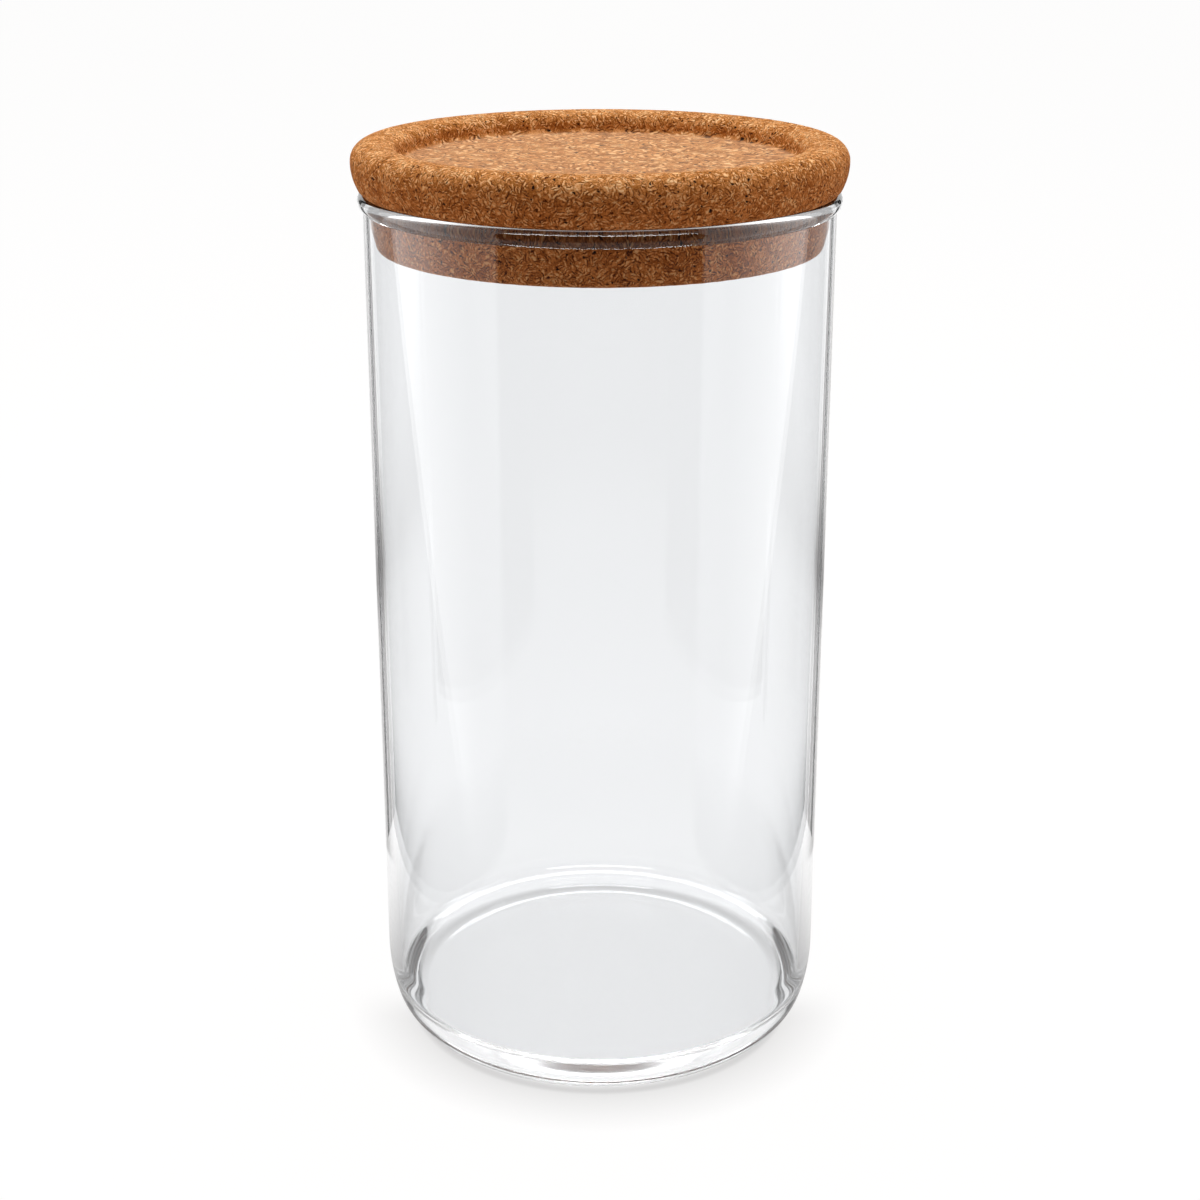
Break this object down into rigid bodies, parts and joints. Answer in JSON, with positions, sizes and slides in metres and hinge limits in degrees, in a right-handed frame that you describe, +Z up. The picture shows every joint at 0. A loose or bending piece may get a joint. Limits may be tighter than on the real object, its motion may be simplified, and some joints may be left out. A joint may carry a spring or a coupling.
{
  "type": "glass jar with cork lid",
  "caption": "Tall round clear glass storage jar with a beaded rim, closed by a push-in cork lid with a sunken top panel.",
  "frame": {"origin": "centre of the ring under the jar that it stands on", "axes": "+Z up along the jar's axis; the jar and the lid are round about it"},
  "size_m": [0.11, 0.11, 0.2132],
  "materials": {
    "clear_glass": "clear moulded glass, fire-polished",
    "cork": "agglomerated cork, sanded, unvarnished"
  },
  "bodies": {
    "jar": {"glass_jar": "clear_glass"},
    "lid": {"cork_lid": "cork"}
  },
  "joints": [
    {"name": "lid_lift", "type": "slide", "parent": "jar", "child": "lid", "axis": [0, 0, 1], "range_m": [0, 0.022]}
  ]
}
